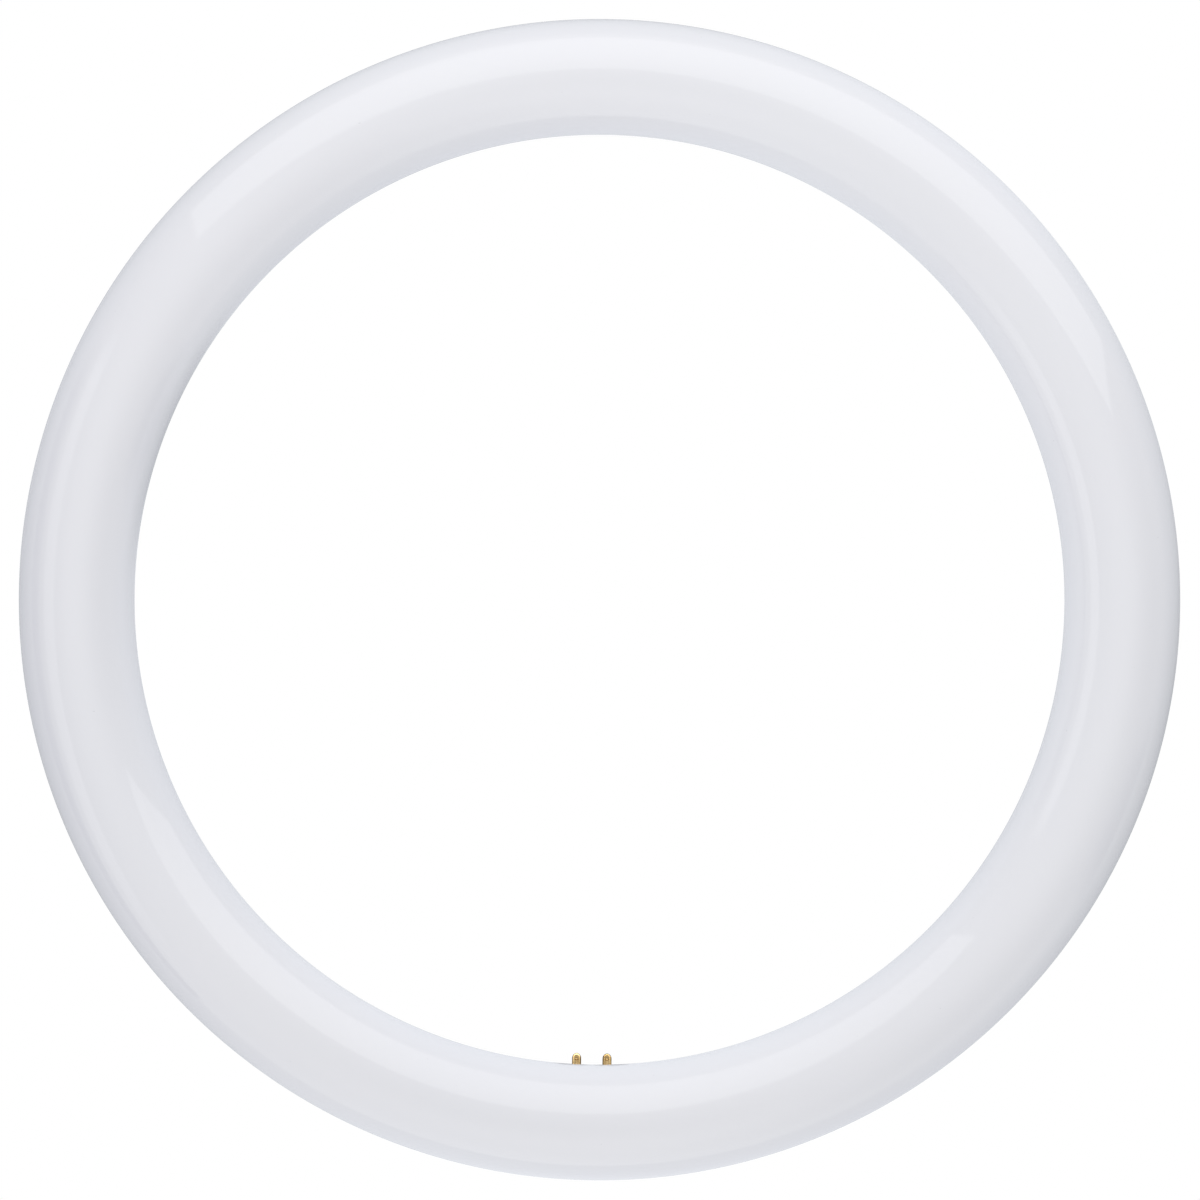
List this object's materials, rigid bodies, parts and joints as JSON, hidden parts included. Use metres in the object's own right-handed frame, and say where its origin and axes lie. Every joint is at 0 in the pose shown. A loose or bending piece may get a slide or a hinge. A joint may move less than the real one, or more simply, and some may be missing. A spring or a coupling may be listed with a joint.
{
  "type": "circular led tube",
  "caption": "Ring-shaped LED tube lamp with an opal front shell, a white rear shell, and a pin base that faces inwards and rearwards.",
  "frame": {"origin": "on the ring's axis, in the lamp's lowest plane, which the tips of the rear pins touch", "axes": "+Z along the ring's axis towards the light side, base at -Y"},
  "size_m": [0.3, 0.3, 0.0317],
  "materials": {
    "opal_plastic": "glossy opal polycarbonate",
    "white_plastic": "glossy white polycarbonate",
    "insert_plastic": "fine-textured white moulding",
    "pin_brass": "bright drawn brass",
    "lead_insulation": "white silicone",
    "red_insulation": "extruded",
    "black_insulation": "extruded",
    "white_masked_aluminium": "white solder mask",
    "led_body": "moulded",
    "phosphor": "yellow silicone fill",
    "tinned_copper": "tinned",
    "zinc_steel": "zinc plated",
    "amber_film": "smooth film",
    "fibreglass_board": "green solder mask",
    "resistor_body": "glazed",
    "fuse_body": "coated",
    "blue_coating": "dipped epoxy",
    "black_epoxy": "moulded",
    "yellow_box": "moulded",
    "ferrite": "sintered",
    "copper_winding": "enamelled copper",
    "capacitor_sleeve": "sleeved can",
    "winding_tape": "wound tape"
  },
  "bodies": {
    "root": {"diffuser": "opal_plastic", "rear_housing": "white_plastic", "base_insert": "insert_plastic", "pin_front_left": "pin_brass", "pin_front_right": "pin_brass", "pin_rear_left": "pin_brass", "pin_rear_right": "pin_brass", "lead_front_left": "lead_insulation", "lead_front_right": "lead_insulation", "lead_rear_left": "lead_insulation", "lead_rear_right": "lead_insulation", "led_board_1": "white_masked_aluminium", "led_board_2": "white_masked_aluminium", "led_board_3": "white_masked_aluminium", "led_board_4": "white_masked_aluminium", "led_packages": "led_body", "led_phosphor": "phosphor", "board_links": "tinned_copper", "led_board_screws": "zinc_steel", "driver_board_screws": "zinc_steel", "insulating_film": "amber_film", "driver_board": "fibreglass_board", "led_feed_positive": "red_insulation", "led_feed_negative": "black_insulation", "input_resistors": "resistor_body", "fuse": "fuse_body", "varistor": "blue_coating", "bridge_rectifier": "black_epoxy", "film_capacitor": "yellow_box", "choke_core": "ferrite", "choke_winding": "copper_winding", "input_capacitor": "capacitor_sleeve", "output_capacitor": "capacitor_sleeve", "driver_chip": "black_epoxy", "transformer_core": "ferrite", "transformer_winding": "winding_tape"}
  },
  "joints": []
}
